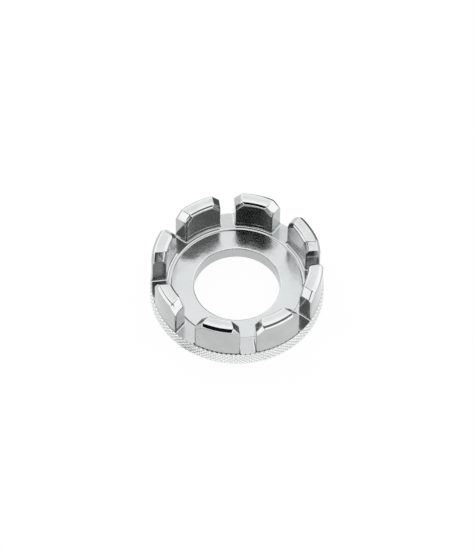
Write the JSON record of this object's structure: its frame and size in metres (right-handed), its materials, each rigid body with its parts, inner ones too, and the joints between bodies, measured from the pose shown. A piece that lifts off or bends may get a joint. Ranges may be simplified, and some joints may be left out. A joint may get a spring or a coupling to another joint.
{
  "type": "spoke wrench",
  "caption": "Round spoke wrench: a knurled ring with upright jaws round it, whose slots of graded width grip spoke nipples.",
  "frame": {"origin": "centre of the flat back face, on the axis of the hole", "axes": "+Z along the hole, from the back face towards the jaws; +Y through the middle of slot 1, with the slots numbered clockwise as seen from +Z, so slot 3 opens along +X"},
  "size_m": [0.038, 0.038, 0.0118],
  "materials": {
    "disc_chrome": "satin polished chrome plate",
    "seat_chrome": "polished chrome plate",
    "rim_chrome": "chrome plate over a diamond knurl",
    "jaw_chrome": "bright polished chrome plate"
  },
  "bodies": {
    "root": {"centre_disc": "disc_chrome", "seat_ring": "seat_chrome", "knurled_rim": "rim_chrome", "jaw_1": "jaw_chrome", "jaw_2": "jaw_chrome", "jaw_3": "jaw_chrome", "jaw_4": "jaw_chrome", "jaw_5": "jaw_chrome", "jaw_6": "jaw_chrome", "jaw_7": "jaw_chrome", "jaw_8": "jaw_chrome"}
  },
  "joints": []
}
